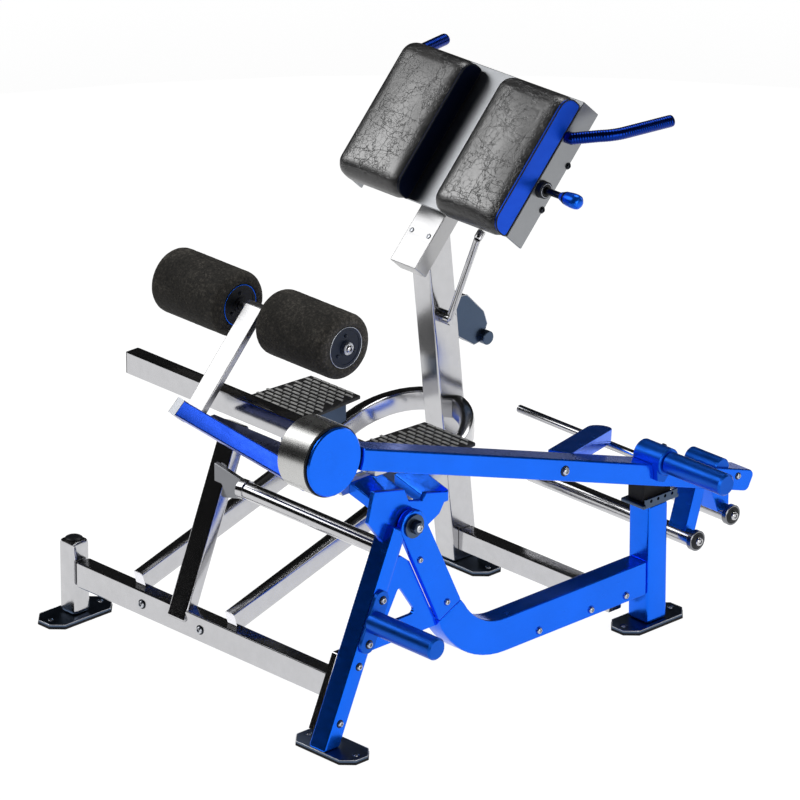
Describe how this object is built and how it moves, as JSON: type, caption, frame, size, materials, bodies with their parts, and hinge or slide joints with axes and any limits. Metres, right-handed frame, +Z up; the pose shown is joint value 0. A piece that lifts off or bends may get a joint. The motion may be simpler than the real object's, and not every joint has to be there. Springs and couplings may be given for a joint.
{
  "type": "hip extension machine",
  "caption": "Free-standing plate-loaded hip extension machine with a pivoted lever, foam rollers, foot treads and sloping pads that slide up an inclined rail.",
  "frame": {"origin": "on the floor, on the underside of the main post's foot, below the middle of the treads, rollers and pads", "axes": "+X towards the side with the loading lever, +Y the way the user faces when leaning on the pads, +Z up"},
  "size_m": [1.1582, 1.3343, 1.1434],
  "materials": {
    "blue_paint": "glossy metallic blue paint",
    "chrome": "polished chrome plate",
    "steel": "satin steel",
    "dark_steel": "satin black paint",
    "tread_plate": "black textured tread plate",
    "black_leather": "black upholstery leather with blue side panels",
    "dark_foam": "dark speckled closed-cell foam",
    "black_rubber": "matt black rubber"
  },
  "bodies": {
    "frame": {"bar_bracket": "chrome", "front_left_foot": "dark_steel", "front_right_foot": "dark_steel", "main_foot": "dark_steel", "rear_right_foot": "dark_steel", "front_left_post": "chrome", "front_right_leg": "blue_paint", "front_cross_tube": "chrome", "rear_post": "blue_paint", "rear_post_cap": "dark_steel", "rear_bumper": "black_rubber", "side_rail": "blue_paint", "side_strut": "blue_paint", "leg_gusset": "blue_paint", "base_cross_tube": "chrome", "storage_horn": "blue_paint", "main_post": "chrome", "incline_rail": "chrome", "u_tube": "chrome", "centre_leg": "chrome", "upper_cross_bar": "chrome", "left_tread": "tread_plate", "left_tread_bracket": "dark_steel", "right_tread": "tread_plate", "right_tread_bracket": "dark_steel", "yoke": "blue_paint", "yoke_bolt": "chrome", "pivot_bracket": "steel", "pivot_axle": "steel", "pivot_bearing": "steel", "stay_rod": "chrome", "rear_bracket": "dark_steel"},
    "lever": {"lever_arm": "blue_paint", "hub_drum": "chrome", "hub_cover": "blue_paint", "cross_rail": "chrome", "roller_upright": "chrome", "roller_bar": "blue_paint", "bar_web": "blue_paint", "roller_axle": "steel", "horn_socket": "blue_paint", "lever_horn": "blue_paint", "inboard_rod": "chrome", "rod_brace": "blue_paint", "rear_socket": "blue_paint", "lower_bar": "chrome", "rear_bar": "chrome", "front_hanger": "blue_paint", "rear_hanger": "blue_paint"},
    "left_roller": {"left_roller_hub": "black_rubber", "left_roller_foam": "dark_foam"},
    "right_roller": {"right_roller_hub": "black_rubber", "right_roller_foam": "dark_foam"},
    "pads": {"pad_carrier": "steel", "slide_shoe": "black_rubber", "left_pad": "black_leather", "right_pad": "black_leather", "left_handle": "blue_paint", "right_handle": "blue_paint"},
    "pin": {"adjust_pin": "dark_steel"}
  },
  "joints": [
    {"name": "lever_swing", "type": "hinge", "parent": "frame", "child": "lever", "pos_m": [0.5044, -0.8829, 0.67], "axis": [1, 0, 0], "range_deg": [0, 32]},
    {"name": "left_roller_spin", "type": "hinge", "parent": "lever", "child": "left_roller", "pos_m": [-0.1661, -0.5847, 0.7592], "axis": [1, 0, 0], "continuous": true},
    {"name": "right_roller_spin", "type": "hinge", "parent": "lever", "child": "right_roller", "pos_m": [0.1661, -0.5847, 0.7592], "axis": [1, 0, 0], "continuous": true},
    {"name": "pads_slide", "type": "slide", "parent": "frame", "child": "pads", "axis": [0, 0.682, 0.7314], "range_m": [0, 0.105]},
    {"name": "pin_pull", "type": "slide", "parent": "pads", "child": "pin", "axis": [1, 0, 0], "range_m": [0, 0.011], "stiffness_N_per_m": 800, "springref_m": -0.01}
  ]
}
